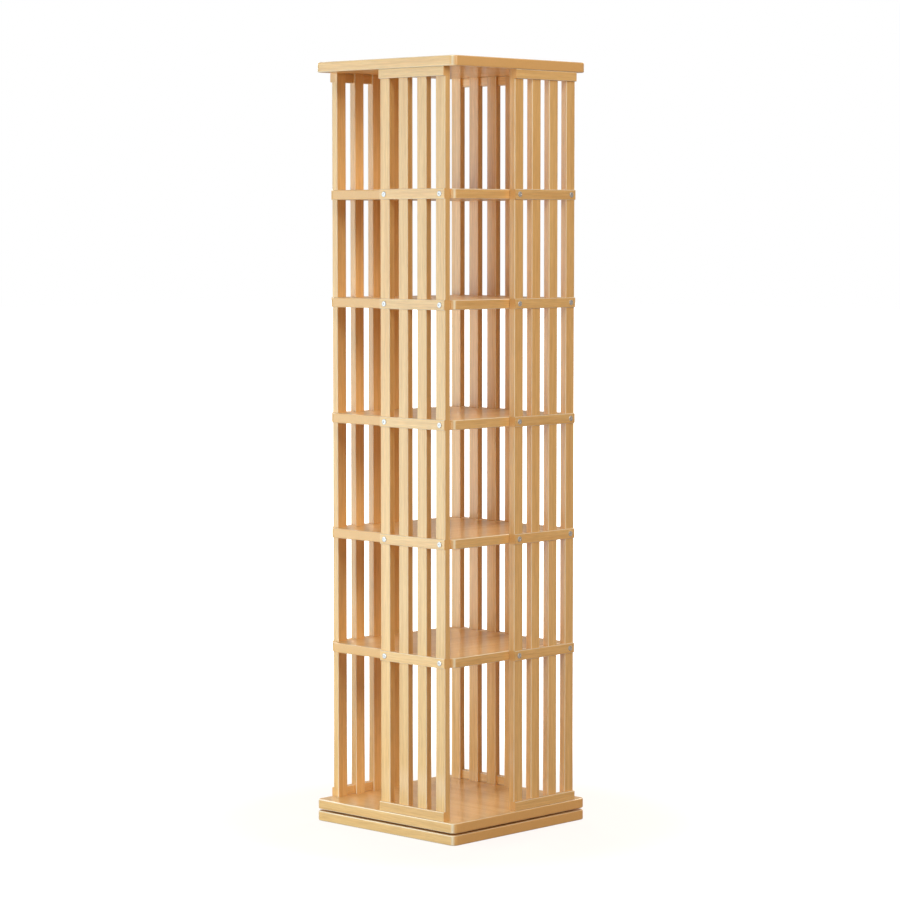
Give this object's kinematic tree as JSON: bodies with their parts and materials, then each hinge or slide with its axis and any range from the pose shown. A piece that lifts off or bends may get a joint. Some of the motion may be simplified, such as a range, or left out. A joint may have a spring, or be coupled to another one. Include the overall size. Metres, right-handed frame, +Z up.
{
  "type": "revolving bookcase",
  "caption": "Tall square slatted wooden bookcase that revolves on a low base board, with open tiers half closed by slatted panels.",
  "frame": {"origin": "centre of the base board's underside, on the floor, on the axis that the rack turns about", "axes": "+Z up along the turning axis; -Y is the side seen at the left of the picture and +X the side seen at its right, with panel a on -Y, b on +X, c on +Y and d on -X at rest"},
  "size_m": [0.46, 0.46, 1.817],
  "materials": {
    "board_wood": "pale glued hardwood under clear satin lacquer",
    "shelf_wood": "pale glued hardwood under clear satin lacquer",
    "panel_wood": "pale straight-grained hardwood under clear satin lacquer",
    "dowel_wood": "raw beech, glued",
    "bolt_steel": "bright nickel plate",
    "insert_zinc": "dull zinc plate",
    "plate_steel": "zinc-plated sheet steel",
    "ball_steel": "polished balls in a flat cage"
  },
  "bodies": {
    "base": {"base_board": "board_wood", "swivel_lower_plate": "plate_steel", "lower_plate_screws": "bolt_steel"},
    "ball_ring": {"ball_ring": "ball_steel"},
    "rack": {"bottom_board": "board_wood", "top_board": "board_wood", "shelf_1": "shelf_wood", "shelf_2": "shelf_wood", "shelf_3": "shelf_wood", "shelf_4": "shelf_wood", "shelf_5": "shelf_wood", "panel_a_slat_1": "panel_wood", "panel_a_slat_2": "panel_wood", "panel_a_slat_3": "panel_wood", "panel_a_slat_4": "panel_wood", "panel_b_slat_1": "panel_wood", "panel_b_slat_2": "panel_wood", "panel_b_slat_3": "panel_wood", "panel_b_slat_4": "panel_wood", "panel_c_slat_1": "panel_wood", "panel_c_slat_2": "panel_wood", "panel_c_slat_3": "panel_wood", "panel_c_slat_4": "panel_wood", "panel_d_slat_1": "panel_wood", "panel_d_slat_2": "panel_wood", "panel_d_slat_3": "panel_wood", "panel_d_slat_4": "panel_wood", "panel_a_crossbar_1": "panel_wood", "panel_a_crossbar_2": "panel_wood", "panel_a_crossbar_3": "panel_wood", "panel_a_crossbar_4": "panel_wood", "panel_a_crossbar_5": "panel_wood", "panel_b_crossbar_1": "panel_wood", "panel_b_crossbar_2": "panel_wood", "panel_b_crossbar_3": "panel_wood", "panel_b_crossbar_4": "panel_wood", "panel_b_crossbar_5": "panel_wood", "panel_c_crossbar_1": "panel_wood", "panel_c_crossbar_2": "panel_wood", "panel_c_crossbar_3": "panel_wood", "panel_c_crossbar_4": "panel_wood", "panel_c_crossbar_5": "panel_wood", "panel_d_crossbar_1": "panel_wood", "panel_d_crossbar_2": "panel_wood", "panel_d_crossbar_3": "panel_wood", "panel_d_crossbar_4": "panel_wood", "panel_d_crossbar_5": "panel_wood", "panel_a_top_rail": "panel_wood", "panel_b_top_rail": "panel_wood", "panel_c_top_rail": "panel_wood", "panel_d_top_rail": "panel_wood", "panel_a_foot_rail": "panel_wood", "panel_b_foot_rail": "panel_wood", "panel_c_foot_rail": "panel_wood", "panel_d_foot_rail": "panel_wood", "shelf_bolts": "bolt_steel", "threaded_inserts": "insert_zinc", "rail_dowels": "dowel_wood", "swivel_upper_plate": "plate_steel", "upper_plate_screws": "bolt_steel"}
  },
  "joints": [
    {"name": "revolve", "type": "hinge", "parent": "base", "child": "rack", "pos_m": [0, 0, 0.02625], "axis": [0, 0, 1], "continuous": true},
    {"name": "ball_ring_roll", "type": "hinge", "parent": "base", "child": "ball_ring", "pos_m": [0, 0, 0.02625], "axis": [0, 0, 1], "continuous": true}
  ],
  "couplings": [
    {"joint": "ball_ring_roll", "follows": "revolve", "ratio": 0.5}
  ]
}
